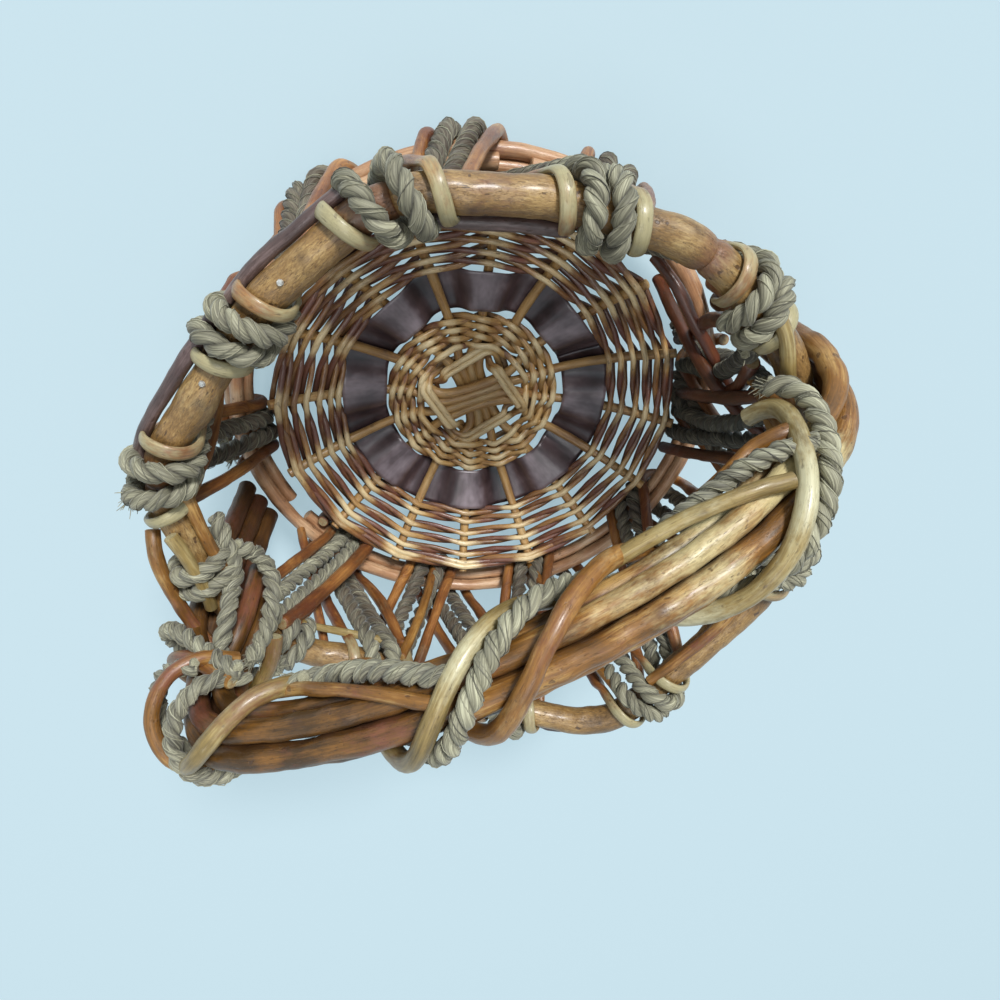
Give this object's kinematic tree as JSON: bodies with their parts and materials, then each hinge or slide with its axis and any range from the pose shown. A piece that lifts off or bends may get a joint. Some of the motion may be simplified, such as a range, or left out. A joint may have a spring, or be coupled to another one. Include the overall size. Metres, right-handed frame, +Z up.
{
  "type": "grapevine basket",
  "caption": "Round basket: shallow woven dish base, peeled hoop, open walls laced with rods and rope, thick branch rim and a fixed arched handle of bundled rods.",
  "frame": {"origin": "middle of the whole basket, level with the underside of the woven base", "axes": "+Z up out of the mouth, the handle spans the mouth along X"},
  "size_m": [0.2992, 0.2988, 0.2209],
  "materials": {
    "wicker": "satin",
    "stake": "satin",
    "ribbon": "satin",
    "hoop": "satin",
    "branch": "satin",
    "lattice_rod": "satin",
    "rope": "matte",
    "handle_core": "satin",
    "pale_rod": "satin",
    "orange_rod": "satin",
    "nail": "satin"
  },
  "bodies": {
    "root": {"base_rod_1": "stake", "base_rod_2": "stake", "base_rod_3": "stake", "base_rod_4": "stake", "base_rod_5": "stake", "base_rod_6": "stake", "base_rod_7": "stake", "base_rod_8": "stake", "inner_weave": "wicker", "outer_weave": "wicker", "ribbon": "ribbon", "hoop_rod_1": "hoop", "hoop_rod_2": "hoop", "hoop_rod_3": "hoop", "rim_branch_1": "branch", "rim_branch_2": "branch", "rim_branch_3": "branch", "rim_branch_4": "branch", "rim_branch_5": "branch", "rim_branch_6": "branch", "rim_branch_7": "branch", "rim_branch_8": "branch", "nail_1": "nail", "nail_2": "nail", "wall_brace": "lattice_rod", "side_rod_lower_a": "lattice_rod", "side_rope_lower_a": "rope", "side_rope_upper_a": "rope", "side_rod_upper_a": "lattice_rod", "side_rod_lower_b": "lattice_rod", "side_rope_lower_b": "rope", "side_rope_upper_b": "rope", "side_rod_upper_b": "lattice_rod", "rim_lashing_1": "rope", "rim_lashing_2": "rope", "rim_lashing_3": "rope", "handle_rod_1": "handle_core", "handle_rod_2": "handle_core", "handle_rod_3": "handle_core", "handle_rod_4": "handle_core", "handle_rod_5": "handle_core", "handle_pale_rod": "pale_rod", "handle_rope": "rope", "handle_orange_rod": "orange_rod"}
  },
  "joints": []
}
